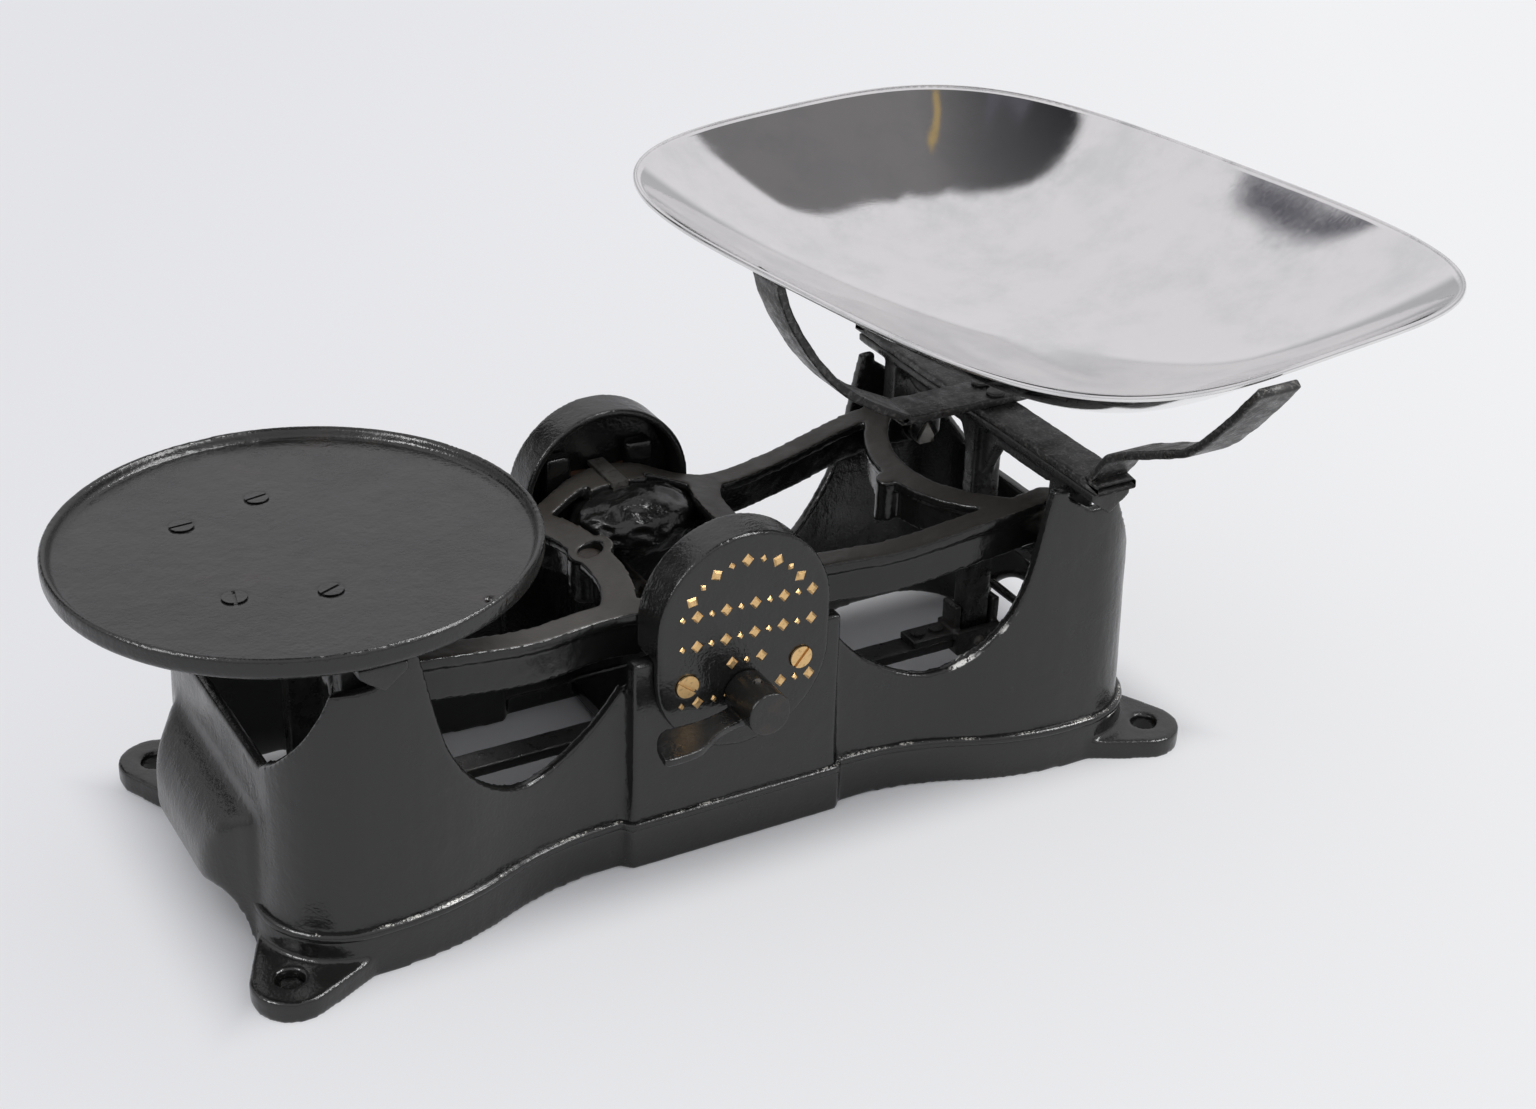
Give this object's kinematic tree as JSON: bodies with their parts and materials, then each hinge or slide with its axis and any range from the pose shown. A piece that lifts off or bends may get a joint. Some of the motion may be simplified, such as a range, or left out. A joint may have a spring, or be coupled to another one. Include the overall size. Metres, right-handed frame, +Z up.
{
  "type": "counter scale",
  "caption": "Equal-arm shop counter scale with a round weight plate, a large oval goods pan on strap arms, an open cast base and a relieving lever.",
  "frame": {"origin": "on the table under the middle of the beam, at the centre of the four fixing holes", "axes": "+X along the beam from the weight plate to the goods pan, +Y to the back, away from the lever, +Z up"},
  "size_m": [0.6764, 0.4367, 0.27],
  "materials": {
    "black_enamel": "thick glossy black enamel on cast iron, worn at the edges",
    "dark_iron": "satin dark grey paint on cast iron, worn bright on the beads",
    "blackened_iron": "rough black paint on wrought iron strip",
    "rusty_iron": "rusty brown iron",
    "steel": "plain steel, slightly dull",
    "polished_steel": "polished steel sheet with fine scratches",
    "brass": "bright brass with dark slots"
  },
  "bodies": {
    "base": {"base_casting": "black_enamel", "front_cap": "black_enamel", "back_cap": "black_enamel", "front_cap_screws": "brass", "back_cap_screws": "brass", "stay_bracket": "blackened_iron", "stay_bracket_screws": "steel", "stay_pivot_pin": "steel"},
    "bearing_blocks": {"front_bearing_block": "rusty_iron", "back_bearing_block": "rusty_iron"},
    "lever": {"lever_shaft": "steel", "lever_handle": "black_enamel", "lever_pin": "steel", "front_cam": "steel", "back_cam": "steel", "shaft_collar": "steel"},
    "beam": {"beam_casting": "dark_iron", "balance_plug": "rusty_iron", "centre_knives": "steel", "weight_end_knives": "steel", "goods_end_knives": "steel"},
    "weight_carriage": {"weight_crossbar": "dark_iron", "weight_bearings": "steel", "weight_plate": "black_enamel", "weight_plate_screws": "steel"},
    "goods_carriage": {"goods_crossbar": "dark_iron", "goods_bearings": "steel", "long_pan_arm": "blackened_iron", "cross_pan_arm": "blackened_iron", "pan_arm_rivets": "blackened_iron"},
    "stay": {"stay_bar": "blackened_iron", "weight_stirrup": "rusty_iron", "goods_stirrup": "rusty_iron", "weight_stay_pin": "steel", "goods_stay_pin": "steel", "stay_rivets": "blackened_iron"},
    "goods_pan": {"goods_pan": "polished_steel", "pan_rim_wire": "polished_steel"}
  },
  "joints": [
    {"name": "beam_swing", "type": "hinge", "parent": "base", "child": "beam", "pos_m": [0, 0, 0.131], "axis": [0, 1, 0], "range_deg": [-1.1, 1.1]},
    {"name": "weight_carriage_level", "type": "hinge", "parent": "beam", "child": "weight_carriage", "pos_m": [-0.1905, 0, 0.131], "axis": [0, 1, 0], "range_deg": [-1.1, 1.1]},
    {"name": "goods_carriage_level", "type": "hinge", "parent": "beam", "child": "goods_carriage", "pos_m": [0.1905, 0, 0.131], "axis": [0, 1, 0], "range_deg": [-1.1, 1.1]},
    {"name": "stay_swing", "type": "hinge", "parent": "base", "child": "stay", "pos_m": [0, 0, 0.0265], "axis": [0, 1, 0], "range_deg": [-1.1, 1.1]},
    {"name": "lever_turn", "type": "hinge", "parent": "base", "child": "lever", "pos_m": [0, 0, 0.0884], "axis": [0, 1, 0], "range_deg": [0, 60]},
    {"name": "bearing_drop", "type": "slide", "parent": "base", "child": "bearing_blocks", "axis": [0, 0, 1], "range_m": [-0.0015, 0]},
    {"name": "pan_lift", "type": "slide", "parent": "goods_carriage", "child": "goods_pan", "axis": [0, 0, 1], "range_m": [0, 0.15]}
  ],
  "couplings": [
    {"joint": "weight_carriage_level", "follows": "beam_swing", "ratio": -1},
    {"joint": "goods_carriage_level", "follows": "beam_swing", "ratio": -1},
    {"joint": "stay_swing", "follows": "beam_swing", "ratio": 1},
    {"joint": "bearing_drop", "follows": "lever_turn", "m_per_rad": -0.001432}
  ]
}
